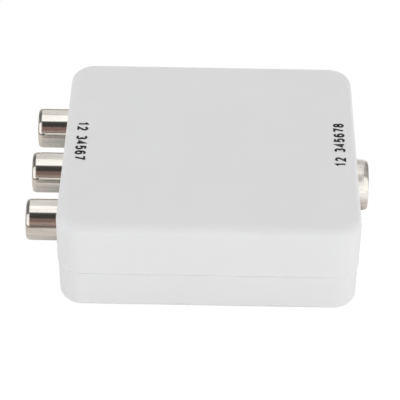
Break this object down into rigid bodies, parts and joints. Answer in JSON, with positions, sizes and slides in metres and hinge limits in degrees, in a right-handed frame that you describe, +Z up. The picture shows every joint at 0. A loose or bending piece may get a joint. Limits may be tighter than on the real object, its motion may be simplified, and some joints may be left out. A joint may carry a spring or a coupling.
{
  "type": "rf modulator",
  "caption": "Small white plastic box with a row of phono input sockets on one side, a coaxial aerial socket on the other, and a power inlet and a slide switch at the back.",
  "frame": {"origin": "middle of the underside of the case, on the surface that it stands on", "axes": "+X from the phono side to the aerial side, +Y to the back, +Z up"},
  "size_m": [0.0689, 0.055, 0.0205],
  "materials": {
    "case_plastic": "satin",
    "screw_steel": "satin",
    "board": "satin",
    "nickel": "polished",
    "yellow_plastic": "gloss",
    "white_plastic": "gloss",
    "red_plastic": "gloss",
    "spring_brass": "satin",
    "tin_plate": "satin",
    "black_plastic": "matte",
    "chip_resin": "matte",
    "ferrite": "matte",
    "can_aluminium": "satin",
    "tan_ceramic": "matte",
    "black_ceramic": "matte"
  },
  "bodies": {
    "modulator": {"cover_shell": "case_plastic", "base_shell": "case_plastic", "case_screws": "screw_steel", "board_screws": "screw_steel", "circuit_board": "board", "video_barrel": "nickel", "left_audio_barrel": "nickel", "right_audio_barrel": "nickel", "rf_sleeve": "nickel", "video_body": "yellow_plastic", "left_audio_body": "white_plastic", "right_audio_body": "red_plastic", "rf_insulator": "white_plastic", "video_contact": "spring_brass", "left_audio_contact": "spring_brass", "right_audio_contact": "spring_brass", "rf_contact": "spring_brass", "inlet_contacts": "spring_brass", "switch_terminals": "spring_brass", "inlet_shell": "tin_plate", "switch_can": "tin_plate", "modulator_shield": "tin_plate", "crystal": "tin_plate", "modulator_leads": "tin_plate", "control_leads": "tin_plate", "regulator_leads": "tin_plate", "inlet_tongue": "black_plastic", "switch_base": "black_plastic", "modulator_chip": "chip_resin", "control_chip": "chip_resin", "regulator": "chip_resin", "supply_choke": "ferrite", "smoothing_capacitors": "can_aluminium", "chip_capacitors": "tan_ceramic", "chip_resistors": "black_ceramic"},
    "channel_slider": {"switch_knob": "black_plastic", "switch_wiper": "spring_brass"}
  },
  "joints": [
    {"name": "channel_slide", "type": "slide", "parent": "modulator", "child": "channel_slider", "axis": [1, 0, 0], "range_m": [0, 0.002]}
  ]
}
